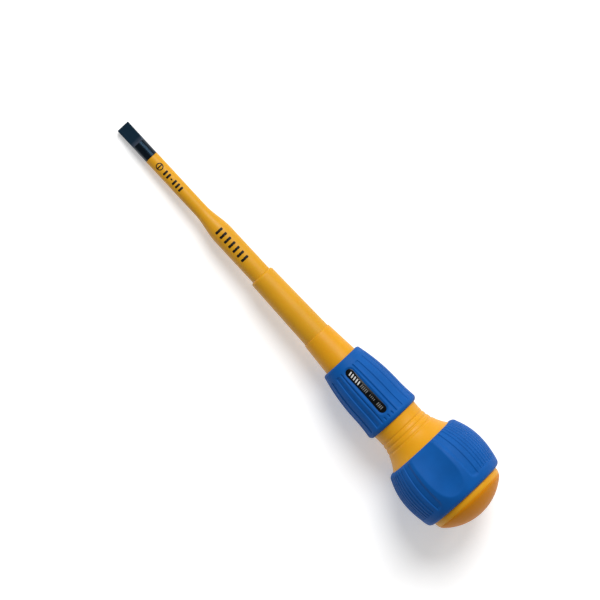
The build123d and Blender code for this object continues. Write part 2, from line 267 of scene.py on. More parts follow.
class BallSizes(PropertyGroup):
    """Sizes of the ball grip."""

    front_face: length("Front face radius", 13.9, "Front face before its rounded corner")
    front_round: length("Front rounding", 1.7, "Length of the rounded front corner")
    crest: length("Crest station", 166.0, "Where the ball is widest")
    crest_radius: length("Crest radius", 18.05, "Radius of the ball at its widest")
    front_curve: length("Front curve", 25.0, "Radius of the outside curve in front of the crest")
    rear_curve: length("Rear curve", 32.0, "Radius of the outside curve behind the crest")
    rear_round: length("Rear rounding", 1.5, "Length of the rounded rear corner")
    rear_face: length("Rear face radius", 15.2, "Rear face after its rounded corner")
    wall_left: length("Wall left", 0.3, "Inner part of the front face that no panel cuts")
    sectors: IntProperty(name="Sectors", description="Thumb dimples round the ball", default=3, min=2)
    dimple_axis: length("Dimple axis height", 46.6, "Height of the axis that a dimple's floor curves round")
    dimple_edge: length("Dimple edge", 0.12, "Rounding of a dimple's edge")
    panel_half: degrees("Panel half angle", 37.5, "Half of a ribbed panel, round the axis")
    panel_end: length("Panel end", 173.8, "Station where the ribbed panels end")
    panel_fade: length("Panel fade", 0.5, "Length of the step at the rear end of a panel")
    panel_depth: length("Panel depth", 0.15, "How far a panel lies under the ball")
    channel_inner: degrees("Channel inner angle", 25.2, "Ribbed side of a channel, from the panel's middle")
    channel_depth: length("Channel depth", 0.32, "How far a channel lies under its panel")
    channel_slope: length("Channel slope", 1.3, "Width of the soft step from the ball into a channel")
    channel_wall: length("Channel wall", 0.3, "Width of the crisp step from a channel up to the ribs")
    panel_corner: length("Panel corner", 2.6, "Rounding of a panel's rear corners")
    rib_grooves: IntProperty(name="Rib grooves", description="Grooves in a panel", default=8, min=1)
    rib_pitch: degrees("Rib pitch", 5.2, "From one rib groove to the next")
    rib_width: length("Rib groove width", 0.7, "Width of a rib groove")
    rib_depth: length("Rib groove depth", 0.28, "Depth of a rib groove under its panel")
    rib_end: length("Rib groove end", 172.8, "Station where the rib grooves end")


class Colours(PropertyGroup):
    """Colours of the finishes."""

    shaft_yellow: colour("Shaft yellow", (0.56, 0.268, 0.007), "Insulation on the shaft")
    handle_yellow: colour("Handle yellow", (0.62, 0.276, 0.004), "Hard plastic of the handle")
    # Painted shade: a darker, more orange copy of the handle yellow, for the shade that the dome turns into.
    cap_shaded_yellow: colour("Cap yellow", (0.58, 0.2, 0.002), "Darker plastic of the end cap")
    grip_blue: colour("Grip blue", (0.0005, 0.075, 0.3), "Soft grips")
    flat_steel: colour("Ground steel", (0.0002, 0.0045, 0.0105), "Ground flats of the blade")
    # Painted highlight: the brighter steel colour on the run-out stands in for the light's reflection on its
    # curve.
    runout_highlight_steel: colour("Run-out steel", (0.035, 0.042, 0.06), "Brighter steel where the flats run out")
    shank_steel: colour("Shank steel", (0.0005, 0.0005, 0.0006), "Round bare shank")
    plate_black: colour("Plate black", (0.001, 0.0015, 0.002), "Label plate")
    ink_black: colour("Ink black", (0.006, 0.004, 0.003), "Marks printed on the shaft")
    print_white: colour("Print white", (0.5, 0.5, 0.49), "Bold marks on the label plate")
    print_grey: colour("Print grey", (0.14, 0.14, 0.135), "Fine marks on the label plate")
    floor_white: colour("Floor", (0.95, 0.95, 0.95), "Floor under the tool")


# ---------------------------------------------------------------- outlines and surfaces


def line(start, end, steps=1):
    """Points evenly spaced from start to end."""
    return np.linspace(start, end, steps + 1)


def arc(start, middle, end, steps=ARC_STEPS):
    """Points on the circle through three points: centre where their perpendicular bisectors meet."""
    a, b, c = (np.asarray(p, float) for p in (start, middle, end))
    sides = 2 * np.array([b - a, c - a])
    centre = np.linalg.solve(sides, [b @ b - a @ a, c @ c - a @ a])
    first, half, last = (math.atan2(*(p - centre)[::-1]) for p in (a, b, c))
    turn = (last - first) % math.tau
    if (half - first) % math.tau > turn:
        turn -= math.tau
    angle = first + turn * np.linspace(0, 1, steps + 1)
    return centre + np.linalg.norm(a - centre) * np.stack([np.cos(angle), np.sin(angle)], 1)


def rounded_edge(start, radius, size):
    """Rounded front edge of a turned piece: an arc from its front face to its outside."""
    middle = (start + EDGE_SHARE * size, radius - EDGE_SHARE * size)
    return arc((start, radius - size), middle, (start + size, radius))


def crowned(station, crest, crest_radius, curve):
    """Radius of an outline that is an arc, level at its crest. A negative curve bends outwards."""
    drop = abs(curve) - np.sqrt(curve**2 - (station - crest) ** 2)
    return crest_radius - math.copysign(1, curve) * drop


def joined(*parts):
    """One outline from several, with repeated points left out."""
    points = np.concatenate([np.atleast_2d(p) for p in parts])
    steps = np.linalg.norm(np.diff(points, axis=0), axis=1)
    return points[np.concatenate([[True], steps > SAME_POINT])]


def smooth_step(low, high, value):
    """0 below low, 1 above high, and 3t^2 - 2t^3 between them."""
    t = np.clip((value - low) / (high - low), 0, 1)
    return t * t * (3 - 2 * t)


def lesser(a, b, blend):
    """The smaller of a and b, with the corner between them rounded over a distance of blend."""
    share = np.clip(0.5 + 0.5 * (b - a) / blend, 0, 1)
    return b * (1 - share) + a * share - blend * share * (1 - share)


def groove(across, beyond, width, depth):
    """Depth of a round-bottomed groove: a cosine of the distance from its line, with round ends."""
    away = np.hypot(across, np.maximum(beyond, 0))
    return depth * (0.5 + 0.5 * np.cos(np.pi * np.clip(2 * away / width, 0, 1)))


def folded(angle, repeat):
    """Angle from the nearest multiple of repeat."""
    return (angle + repeat / 2) % repeat - repeat / 2


def crowded_angles(count, crowding):
    """Angles round the axis that crowd where crowding(angle) is high: even steps of its running total."""
    fine = np.linspace(0, math.tau, 40 * count + 1)
    total = np.concatenate([[0], np.cumsum(crowding((fine[1:] + fine[:-1]) / 2))])
    return np.interp(np.linspace(0, total[-1], count, endpoint=False), total, fine)


def placed(station, radius, angle):
    """Points at a station, radius and angle, as (x, r sin a, r cos a)."""
    station, radius, angle = np.broadcast_arrays(station, radius, angle)
    return np.stack([station, radius * np.sin(angle), radius * np.cos(angle)], -1)


def even_angles(count):
    """A row of even angles round a full turn."""
    return np.linspace(0, math.tau, count, endpoint=False)[None, :]


def turned(outline, columns=COLUMNS):
    """Points of an outline turned round the tool axis."""
    return placed(outline[:, :1], outline[:, 1:], even_angles(columns))


def tube(points):
    """A grid whose last row is joined to its first, as the wall of a tube is."""
    return points, True, False, False


def capped(points):
    """A grid that is closed by a pole at its first row and another at its last."""
    return points, False, True, True


def superellipse(count, power):
    """Rows of x and y on the outline |x|^n + |y|^n = 1, at even turns."""
    turn = even_angles(count)
    return [np.sign(way) * np.abs(way) ** (2 / power) for way in (np.cos(turn), np.sin(turn))]


def rounded_block(centre, size):
    """A closed block: a superellipse that shrinks to its middle above and below."""
    x, y = superellipse(64, BLOCK_POWER)
    share = np.array([0.1, 0.9, 1.0, 1.0, 0.9, 0.1])[:, None]
    rise = np.array([-1.0, -1.0, -0.8, 0.8, 1.0, 1.0])[:, None]
    points = np.stack(np.broadcast_arrays(share * x, share * y, rise), -1) * np.array(size) / 2
    return capped(points + np.array(centre))


def faces_of(rows, columns, ring, first_pole, last_pole):
    """Faces of a grid whose columns run round: quads between its rows, and a fan of triangles at each pole.

    With ring, the last row is joined to the first.
    """
    ids = np.arange(rows * columns).reshape(rows, columns)
    if ring:
        ids = np.vstack([ids, ids[:1]])
    after = np.roll(ids, -1, 1)
    quads = np.stack([ids[:-1], ids[1:], after[1:], after[:-1]], -1).reshape(-1, 4)
    fans = []
    if first_pole:
        fans.append(np.stack([np.full(columns, rows * columns), ids[0], after[0]], -1))
    if last_pole:
        tip = rows * columns + int(first_pole)
        fans.append(np.stack([ids[-1], np.full(columns, tip), after[-1]], -1))
    return quads, np.concatenate(fans) if fans else np.empty((0, 3), int)


def outward(vertices, quads, fans):
    """The faces, turned over if the closed surface would have its inside out: its signed volume says so."""
    corners = np.concatenate([quads[:, [0, 1, 2]], quads[:, [0, 2, 3]], fans])
    a, b, c = (vertices[corners[:, i]] for i in range(3))
    inside_out = np.einsum("ij,ij->i", a, np.cross(b, c)).sum() < 0
    return (quads[:, ::-1], fans[:, ::-1]) if inside_out else (quads, fans)


def closed_mesh(grids):
    """Vertices and faces of several closed grids. Each is (points, ring, first_pole, last_pole)."""
    vertices, faces, start = [], [], 0
    for points, ring, first_pole, last_pole in grids:
        poles = [points[0].mean(0)] * first_pole + [points[-1].mean(0)] * last_pole
        own = np.concatenate([points.reshape(-1, 3), *[p[None] for p in poles]])
        quads, fans = outward(own, *faces_of(*points.shape[:2], ring, first_pole, last_pole))
        faces += (quads + start).tolist() + (fans + start).tolist()
        vertices.append(own)
        start += len(own)
    return np.concatenate(vertices), faces


def add_piece(name, grids, finish, nodes=(), crease=50):
    """A named piece on the body root, with smooth faces and edges kept sharp above crease degrees."""
    vertices, faces = closed_mesh(grids)
    mesh = bpy.data.meshes.new(name)
    mesh.from_pydata(vertices, [], faces)
    mesh.update()
    mesh.shade_smooth()
    mesh.set_sharp_from_angle(angle=math.radians(crease))
    mesh.materials.append(finish)
    piece = bpy.data.objects.new(name, mesh)
    bpy.context.scene.collection.objects.link(piece)
    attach(piece, "root")
    if nodes:
        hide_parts(*nodes)


# ---------------------------------------------------------------- finishes


def new_material(name, base, roughness, sockets=()):
    """A material with one Principled shader. sockets names the values that are the same all over."""
    made = bpy.data.materials.new(name)
    made.use_nodes = True
    shader = made.node_tree.nodes["Principled BSDF"]
    shader.inputs["Base Color"].default_value = (*base, 1)
    shader.inputs["Roughness"].default_value = roughness
    for socket, value in dict(sockets).items():
        shader.inputs[socket].default_value = value
    return made


def tree_of(made):
    """Nodes, links and shader of a material."""
    tree = made.node_tree
    return tree.nodes, tree.links, tree.nodes["Principled BSDF"]


def place_of(made, stretch=(1, 1, 1)):
    """Object coordinates, stretched along each axis."""
    nodes, links, _ = tree_of(made)
    where = nodes.new("ShaderNodeTexCoord")
    mapping = nodes.new("ShaderNodeMapping")
    mapping.inputs["Scale"].default_value = stretch
    links.new(where.outputs["Object"], mapping.inputs["Vector"])
    return mapping.outputs["Vector"]


def noise(made, place, per_metre, detail=3.0, rough=0.5):
    """Noise with the given number of lumps per metre."""
    nodes, links, _ = tree_of(made)
    made_noise = nodes.new("ShaderNodeTexNoise")
    made_noise.inputs["Scale"].default_value = per_metre
    made_noise.inputs["Detail"].default_value = detail
    made_noise.inputs["Roughness"].default_value = rough
    links.new(place, made_noise.inputs["Vector"])
    return made_noise.outputs["Fac"]


def ranged(made, value, low, high, start=0.3, end=0.7):
    """value from start to end, spread over low to high."""
    nodes, links, _ = tree_of(made)
    spread = nodes.new("ShaderNodeMapRange")
    for socket, number in zip(("From Min", "From Max", "To Min", "To Max"), (start, end, low, high)):
        spread.inputs[socket].default_value = number
    links.new(value, spread.inputs["Value"])
    return spread.outputs["Result"]


def blended(made, share, first, second):
    """Colour from first to second. Each is a colour or a socket."""
    nodes, links, _ = tree_of(made)
    mix = nodes.new("ShaderNodeMix")
    mix.data_type = "RGBA"
    links.new(share, mix.inputs["Factor"])
    for socket, value in (("A", first), ("B", second)):
        target = next(s for s in mix.inputs if s.name == socket and s.type == "RGBA")
        if isinstance(value, bpy.types.NodeSocket):
            links.new(value, target)
        else:
            target.default_value = (*value, 1)
    return next(s for s in mix.outputs if s.type == "RGBA")


def shaded(rgb, factor):
    """A colour made darker or lighter by a factor."""
    return tuple(min(1.0, c * factor) for c in rgb)


def bumped(made, height, strength, distance):
    """Bump on the shader's normal, from a height."""
    nodes, links, shader = tree_of(made)
    bump = nodes.new("ShaderNodeBump")
    bump.inputs["Strength"].default_value = strength
    bump.inputs["Distance"].default_value = distance
    links.new(height, bump.inputs["Height"])
    links.new(bump.outputs["Normal"], shader.inputs["Normal"])


def coloured(made, share, base, low, high):
    """Base colour of the shader: low times base where share is 0, and high times base where it is 1."""
    _, links, shader = tree_of(made)
    links.new(blended(made, share, shaded(base, low), shaded(base, high)), shader.inputs["Base Color"])


def roughened(made, value, low, high):
    """Roughness of the shader, from low to high with value."""
    _, links, shader = tree_of(made)
    links.new(ranged(made, value, low, high), shader.inputs["Roughness"])


def moulded_plastic(name, base, gloss=0.2):
    """Satin hard plastic: slow colour drift and a fine moulded grain."""
    made = new_material(name, base, 0.42, {
        "Subsurface Weight": 0.06, "Subsurface Scale": 0.002, "Specular IOR Level": gloss})
    place = place_of(made)
    drift = noise(made, place, per_metre=70, detail=2.0)
    coloured(made, ranged(made, drift, 0, 1), base, 0.95, 1.05)
    grain = noise(made, place, per_metre=1600, detail=4.0, rough=0.6)
    roughened(made, grain, 0.36, 0.48)
    bumped(made, grain, strength=0.12, distance=0.12 * MM)
    return made


def soft_rubber(name, base):
    """Matte elastomer: slow colour drift and a dense spark-eroded grain."""
    made = new_material(name, base, 0.6, {
        "Sheen Weight": 0.005, "Sheen Roughness": 0.5, "Specular IOR Level": 0.12})
    place = place_of(made)
    drift = noise(made, place, per_metre=130)
    coloured(made, ranged(made, drift, 0, 1), base, 0.92, 1.08)
    grain = noise(made, place, per_metre=3200, rough=0.65)
    roughened(made, grain, 0.5, 0.66)
    bumped(made, grain, strength=0.25, distance=0.08 * MM)
    return made


def blackened_steel(name, colours, highlight_start, gloss_start):
    """Dull ground flats, a painted highlight where they run out, and a glossy round shank. The grinding goes
    across.
    """
    flat, highlight_colour = colours.flat_steel, colours.runout_highlight_steel
    made = new_material(name, flat, 0.35, {
        "Specular IOR Level": 0.35, "Specular Tint": (0.3, 0.6, 0.95, 1)})
    nodes, links, shader = tree_of(made)
    split = nodes.new("ShaderNodeSeparateXYZ")
    links.new(place_of(made), split.inputs["Vector"])
    station = split.outputs["X"]
    behind = ranged(made, station, 0, 1, gloss_start - FINE_EDGE, gloss_start + FINE_EDGE)
    # Painted highlight: the colour brightens over the run-out, standing in for the light's reflection on its
    # curve.
    highlight_share = ranged(made, station, 0, 1, highlight_start, gloss_start)
    scratches = noise(made, place_of(made, (1, 0.06, 0.06)), per_metre=7000, rough=0.6)
    streak = ranged(made, scratches, 0, 1)
    ground = blended(made, streak, shaded(flat, 0.7), shaded(flat, 1.4))
    painted_highlight = blended(made, streak, shaded(highlight_colour, 0.7), shaded(highlight_colour, 1.3))
    bare = blended(made, highlight_share, ground, painted_highlight)
    links.new(blended(made, behind, bare, colours.shank_steel), shader.inputs["Base Color"])
    stain = ranged(made, noise(made, place_of(made), per_metre=500), 0, 1)
    dull = blended(made, stain, (0.4,) * 3, (0.5,) * 3)
    gloss = blended(made, stain, (0.22,) * 3, (0.28,) * 3)
    links.new(blended(made, behind, dull, gloss), shader.inputs["Roughness"])
    bumped(made, scratches, strength=0.15, distance=0.04 * MM)
    return made


def glossy_plate(name, base):
    """Smooth dark plate with faint smears."""
    made = new_material(name, base, 0.2, {"Specular IOR Level": 0.12})
    smears = noise(made, place_of(made, (0.4, 1, 1)), per_metre=900)
    roughened(made, smears, 0.14, 0.26)
    coloured(made, smears, base, 0.8, 1.3)
    return made


def printed_ink(name, base):
    """Matte ink with a slightly uneven cover."""
    made = new_material(name, base, 0.5, {"Specular IOR Level": 0.15})
    cover = noise(made, place_of(made), per_metre=2500)
    coloured(made, ranged(made, cover, 0, 1), base, 0.85, 1.2)
    roughened(made, cover, 0.42, 0.58)
    return made


def studio_floor(name, base):
    """Plain pale paper with a barely visible tone."""
    made = new_material(name, base, 0.9, {"Emission Color": (1, 1, 1, 1), "Emission Strength": 0.25})
    coloured(made, noise(made, place_of(made), per_metre=3, detail=2.0), base, 0.99, 1.01)
    return made


# ---------------------------------------------------------------- outlines of this tool


def shaft_radius(station, sizes):
    """Outside of the shaft insulation: slim, then a flare that starts and ends level, then thick."""
    rise = smooth_step(sizes.slim_end, sizes.flare_end, station)
    return sizes.slim_radius + (sizes.thick_radius - sizes.slim_radius) * rise


def crested(station, sizes, rear_curve):
    """Radius of an outside made of two arcs that meet level at the crest."""
    crest = sizes.crest, sizes.crest_radius
    front = crowned(np.minimum(station, sizes.crest), *crest, sizes.front_curve)
    rear = crowned(np.maximum(station, sizes.crest), *crest, rear_curve)
    return np.where(station < sizes.crest, front, rear)


def sleeve_radius(station, sizes):
    """Outside of the front sleeve. The arc behind its crest bends outwards, as a gentle flare."""
    return crested(station, sizes, -sizes.lip_curve)


def ball_radius(station, sizes):
    """Outside of the ball grip."""
    return crested(station, sizes, sizes.rear_curve)


def rear_radius(station, sizes):
    """Outside behind the ball grip: a straight band, an arc and a ball.

    The arc is level with the band where they meet, and with the ball where they meet.
    """
    middle = span("end_cap")[1] - sizes.dome_radius
    rise, drop = sizes.dome_radius - sizes.rim_round, sizes.band_radius - sizes.rim_round
    rim_start = middle + math.sqrt(rise**2 - drop**2)
    rim_end = middle + (rim_start - middle) * sizes.dome_radius / rise
    rim = crowned(np.clip(station, rim_start, rim_end), rim_start, sizes.band_radius, sizes.rim_round)
    ball = np.sqrt(np.maximum(sizes.dome_radius**2 - (station - middle) ** 2, 0))
    return np.where(station < rim_end, rim, ball)


def outside(radius, sizes, start, end, steps):
    """Outline points of an outside between two stations."""
    station = np.linspace(start, end, steps + 1)
    return np.stack([station, radius(station, sizes)], 1)


def point_on(radius, sizes, station, inset=0.0):
    """Point of an outside at a station, lowered by inset."""
    return station, float(radius(station, sizes)) - inset


def grip_seat(sizes, steps):
    """Arc that the ball grip sits on, from its front to its rear."""
    start, end = span("ball_grip")
    middle = (sizes.grip_seat_station, sizes.grip_seat_middle)
    return arc((start, sizes.grip_seat_front), middle, (end, sizes.grip_seat_rear), steps)


def dimple_floor(station):
    """Height of a dimple's floor over the tool axis: the quartic through five heights along the ball."""
    stations, heights = np.transpose(DIMPLE_FLOOR)
    middle = stations.mean()
    shape = np.polyfit(stations - middle, heights, 4)
    return np.polyval(shape, np.asarray(station) / MM - middle) * MM


def label_distance(station, around, sizes):
    """Distance outside the label plate's outline, a long shape with round ends, measured on the sleeve."""
    start, end = span("label_plate")
    half = sizes.label_width / 2
    along = np.maximum(np.abs(station - (start + end) / 2) - ((end - start) / 2 - half), 0)
    return np.hypot(along, around) - half


# ---------------------------------------------------------------- pieces


class SCREWDRIVER_OT_blade(Operator):
    """Build the steel blade: ground flats, their run-out, round shank, hidden rod and winged tail"""

    bl_idname = "screwdriver.blade"
    bl_label = "Blade"

    def execute(self, context):
        sizes, shaft, colours = settings(context, "blade", "shaft", "colours")
        tail = span("blade")[1]
        bare_end = span("shaft_insulation")[0]
        start, end = sizes.flat_end, sizes.runout_end
        tip, full = sizes.tip_half, sizes.shank_radius
        flats = np.linspace(TIP_EDGE, start, 30)
        half = tip + (sizes.flat_half - tip) * flats / start
        middle = (start + RUN_OUT_MIDDLE * (end - start), sizes.runout_middle)
        run = arc((start, sizes.flat_half), middle, (end, full), steps=24)
        ground = joined([(0, tip - TIP_EDGE_DEPTH)], np.stack([flats, half], 1), run)
        rod = np.array([
            (end + FLAT_EDGE, full), (bare_end, full), (bare_end, shaft.core_radius),
            (shaft.slim_end, shaft.core_radius), (shaft.flare_end, shaft.rod_radius),
            (tail - sizes.tail_chamfer, shaft.rod_radius), (tail, shaft.rod_radius - sizes.tail_chamfer),
        ])
        station = np.concatenate([ground[:, 0], rod[:, 0]])[:, None]
        radius = np.concatenate([np.full(len(ground), full), rod[:, 1]])[:, None]
        radius[0] -= TIP_EDGE_DEPTH
        limit = np.concatenate([ground[:, 1], np.full(len(rod), 2 * full)])[:, None]
        points = placed(station, radius, even_angles(BLADE_COLUMNS))
        height = points[..., 2]
        points[..., 2] = np.sign(height) * lesser(np.abs(height), limit, FLAT_EDGE)
        wing_size = sizes.wing_length, sizes.wing_span, sizes.wing_thickness
        grids = [capped(points), rounded_block((sizes.wing_station, 0, 0), wing_size)]
        steel = blackened_steel("blackened_steel", colours, sizes.highlight_start, sizes.gloss_start)
        add_piece("blade_and_shank", grids, steel, ["blade"], crease=30)
        return {"FINISHED"}


class SCREWDRIVER_OT_shaft_insulation(Operator):
    """Build the yellow tube on the blade: slim part, flare, thick part and hidden tail"""

    bl_idname = "screwdriver.shaft_insulation"
    bl_label = "Shaft insulation"

    def execute(self, context):
        sizes, colours = settings(context, "shaft", "colours")
        start, end = span("shaft_insulation")
        collar_start = span("shaft_collar")[0]
        outline = joined(
            [(start, sizes.core_radius)],
            rounded_edge(start, sizes.slim_radius, sizes.mouth_round),
            outside(shaft_radius, sizes, sizes.slim_end, sizes.flare_end, steps=24),
            [(collar_start, sizes.thick_radius), (collar_start, sizes.tail_radius), (end, sizes.tail_radius)],
            [(end, sizes.rod_radius), (sizes.flare_end, sizes.rod_radius)],
            [(sizes.slim_end, sizes.core_radius)],
        )
        yellow = moulded_plastic("shaft_yellow_plastic", colours.shaft_yellow)
        grids = [tube(turned(outline))]
        add_piece("shaft_insulation_tube", grids, yellow, ["shaft_insulation"])
        return {"FINISHED"}


class SCREWDRIVER_OT_shaft_collar(Operator):
    """Build the second yellow layer, from its rounded shoulder into the handle"""

    bl_idname = "screwdriver.shaft_collar"
    bl_label = "Shaft collar"

    def execute(self, context):
        sizes, colours = settings(context, "shaft", "colours")
        start, end = span("shaft_collar")
        nose = span("handle_body")[0]
        along, up = COLLAR_SHOULDER
        rise = sizes.collar_front - sizes.collar_foot
        foot = (start, sizes.collar_foot - FINE_EDGE)
        middle = (start + along * sizes.shoulder, sizes.collar_foot + up * rise)
        front = (start + sizes.shoulder, sizes.collar_front)
        outline = joined(
            [(start, sizes.tail_radius)],
            arc(foot, middle, front),
            line(front, (nose, sizes.collar_rear), steps=12),
            [(end, sizes.collar_rear), (end, sizes.tail_radius)],
        )
        yellow = moulded_plastic("collar_yellow_plastic", colours.shaft_yellow)
        grids = [tube(turned(outline))]
        add_piece("shaft_collar_tube", grids, yellow, ["shaft_collar"])
        return {"FINISHED"}


class SCREWDRIVER_OT_handle_core(Operator):
    """Finish the hard core inside the handle"""

    bl_idname = "screwdriver.handle_core"
    bl_label = "Handle core"

    def execute(self, context):
        (colours,) = settings(context, "colours")
        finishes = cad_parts["handle_core"].data.materials
        finishes.clear()
        finishes.append(moulded_plastic("core_plastic", colours.handle_yellow))
        return {"FINISHED"}


class SCREWDRIVER_OT_handle_body(Operator):
    """Build the yellow handle moulding: nose ring, waist with ring grooves, and band behind the ball grip"""

    bl_idname = "screwdriver.handle_body"
    bl_label = "Handle body"

    def execute(self, context):
        shaft, sizes, colours = settings(context, "shaft", "handle", "colours")
        start, end = span("handle_body")
        sleeve_start, sleeve_end = span("front_sleeve")
        grip_start, grip_end = span("ball_grip")
        collar_end, cap_start = span("shaft_collar")[1], span("end_cap")[0]
        waist = np.linspace(sleeve_end, grip_start, 160)
        waist_radius = crowned(waist, sizes.waist_station, sizes.waist_radius, -sizes.waist_curve)
        for ring in range(sizes.ring_count):
            off = waist - (sizes.ring_first + ring * sizes.ring_pitch)
            waist_radius = waist_radius - groove(off, 0, sizes.ring_width, sizes.ring_depth)
        swell = np.linspace(sizes.swell_end, sizes.swell_start, 12)
        swollen = smooth_step(sizes.swell_start, sizes.swell_end, swell)
        outline = joined(
            [(start, shaft.collar_rear)],
            rounded_edge(start, sizes.nose_front, sizes.nose_round),
            line((start + sizes.nose_round, sizes.nose_front), (sleeve_start, sizes.nose_rear), steps=6),
            [(sleeve_end, sizes.sleeve_seat)],
            np.stack([waist, waist_radius], 1),
            grip_seat(sizes, steps=16),
            [(grip_end, sizes.band_radius - FINE_EDGE)],
            outside(rear_radius, sizes, grip_end + FINE_EDGE, end - sizes.seam_half, steps=24),
            [point_on(rear_radius, sizes, end, sizes.seam_depth)],
            [(end, sizes.spigot_radius), (cap_start, sizes.spigot_radius), (cap_start, sizes.core_boss)],
            [(sizes.core_shoulder, sizes.core_ball)],
            np.stack([swell, sizes.core_front + (sizes.core_ball - sizes.core_front) * swollen], 1),
            [(collar_end, sizes.core_front), (collar_end, shaft.collar_rear)],
        )
        yellow = moulded_plastic("handle_yellow_plastic", colours.handle_yellow)
        grids = [tube(turned(outline, FINE_COLUMNS))]
        add_piece("handle_body_moulding", grids, yellow, ["handle_body"])
        return {"FINISHED"}


class SCREWDRIVER_OT_end_cap(Operator):
    """Build the yellow dome with its spigot and the socket for the core's boss"""

    bl_idname = "screwdriver.end_cap"
    bl_label = "End cap"

    def execute(self, context):
        sizes, colours = settings(context, "handle", "colours")
        start, end = span("end_cap")
        body_end, core_end = span("handle_body")[1], span("handle_core")[1]
        crowded = np.linspace(1, 0.02, 90) ** 2     # rings of points that crowd towards the pole of the dome
        station = end - (end - body_end - sizes.seam_half) * crowded
        outline = joined(
            [(core_end, POLE_RING), (core_end, sizes.core_boss), (start, sizes.core_boss)],
            [(start, sizes.spigot_radius), (body_end, sizes.spigot_radius)],
            [point_on(rear_radius, sizes, body_end, sizes.seam_depth)],
            np.stack([station, rear_radius(station, sizes)], 1),
        )
        # The cap's colour is painted shade: a darker, more orange copy of the handle yellow on the dome.
        yellow = moulded_plastic("cap_yellow_plastic", colours.cap_shaded_yellow, gloss=0.06)
        grids = [capped(turned(outline, FINE_COLUMNS))]
        add_piece("end_cap_dome", grids, yellow, ["end_cap"])
        return {"FINISHED"}


class SCREWDRIVER_OT_front_sleeve(Operator):
    """Build the blue front sleeve with its grooves and the bevelled opening for the label plate"""

    bl_idname = "screwdriver.front_sleeve"
    bl_label = "Front sleeve"

    def execute(self, context):
        handle, sizes, colours = settings(context, "handle", "sleeve", "colours")
        start, end = span("front_sleeve")
        front, rear = (start, sizes.front_face), (end, sizes.lip_face)
        corner = point_on(sleeve_radius, sizes, start + sizes.front_round)
        lip = point_on(sleeve_radius, sizes, end - sizes.lip_round)
        outline = joined(
            line((start, handle.nose_rear), front, steps=3),
            arc(front, np.add((start, 0), SLEEVE_FRONT_CORNER), corner),
            outside(sleeve_radius, sizes, corner[0], lip[0], steps=130),
            arc(lip, np.add((end, 0), SLEEVE_LIP_CORNER), rear, steps=12),
            line(rear, (end, handle.sleeve_seat), steps=3),
        )
        pitch = math.tau / sizes.groove_count

        def crowding(angle):
            """Close columns at the grooves, round the label and at the crisp side of the wide channels."""
            turn = np.abs(folded(angle, math.tau))
            near_groove = np.abs(folded(angle, pitch)) < 0.8 * sizes.groove_width / sizes.crest_radius
            near_wall = np.abs(turn - sizes.channel_to) < WALL_ZONE
            near_label = turn < LABEL_ZONE
            return 1 + GROOVE_CROWD * near_groove + WALL_CROWD * near_label + WALL_CROWD * near_wall

        angle = crowded_angles(SLEEVE_COLUMNS, crowding)[None, :]
        station, radius = outline[:, :1], outline[:, 1:]
        turn = np.abs(folded(angle, math.tau))
        past = np.maximum(sizes.groove_start - station, station - sizes.groove_end)
        stub_past = np.maximum(sizes.stub_start - station, station - sizes.groove_end)
        cut = sizes.groove_width, sizes.groove_depth
        grooves = groove(folded(angle, pitch) * radius, past, *cut)
        stubs = groove(folded(angle, pitch / 2) * radius, stub_past, *cut)
        beside_label = (turn > 0.5 * pitch) & (turn < 1.5 * pitch)
        round_the_back = turn > 2.5 * pitch
        behind_label = turn < 0.7 * pitch
        soft_from, soft_to = (sizes.channel_from + side for side in CHANNEL_SOFT_SIDE)
        channel = smooth_step(soft_from, soft_to, turn)
        channel = channel * (1 - smooth_step(sizes.channel_to - CHANNEL_CRISP_SIDE, sizes.channel_to, turn))
        channel = channel * (1 - smooth_step(0, sizes.channel_fade, past))
        depth = (beside_label | round_the_back) * grooves + behind_label * stubs
        depth = depth + sizes.channel_depth * channel
        away = label_distance(station, folded(angle, math.tau) * radius, sizes)
        bevel = sizes.label_sink * (1 - smooth_step(0, sizes.label_rim, away))
        well = WELL_SHARE * sizes.label_thickness * (1 - smooth_step(-WELL_WALL, 0, away))
        grids = [tube(placed(station, radius - np.maximum(depth, bevel) - well, angle))]
        blue = soft_rubber("sleeve_blue_rubber", colours.grip_blue)
        add_piece("front_sleeve_grip", grids, blue, ["front_sleeve"])
        return {"FINISHED"}


class SCREWDRIVER_OT_label_plate(Operator):
    """Build the black label plate, curved like the sleeve round it"""

    bl_idname = "screwdriver.label_plate"
    bl_label = "Label plate"

    def execute(self, context):
        sizes, colours = settings(context, "sleeve", "colours")
        start, end = span("label_plate")
        half = sizes.label_width / 2
        turn = even_angles(160)
        along = np.sign(np.cos(turn)) * ((end - start) / 2 - half) + half * np.cos(turn)
        across = half * np.sin(turn)
        rings = 30
        share = np.concatenate([np.linspace(0.02, 0.97, rings), [1.0, 1.0, 0.02]])[:, None]
        under = np.concatenate([np.zeros(rings), [PLATE_EDGE], [sizes.label_thickness] * 2])[:, None]
        station = (start + end) / 2 + share * along
        sleeve = sleeve_radius(station, sizes)
        grids = [capped(placed(station, sleeve - sizes.label_sink - under, share * across / sleeve))]
        black = glossy_plate("label_black_gloss", colours.plate_black)
        add_piece("label_plate_insert", grids, black, ["label_plate"], crease=35)
        return {"FINISHED"}


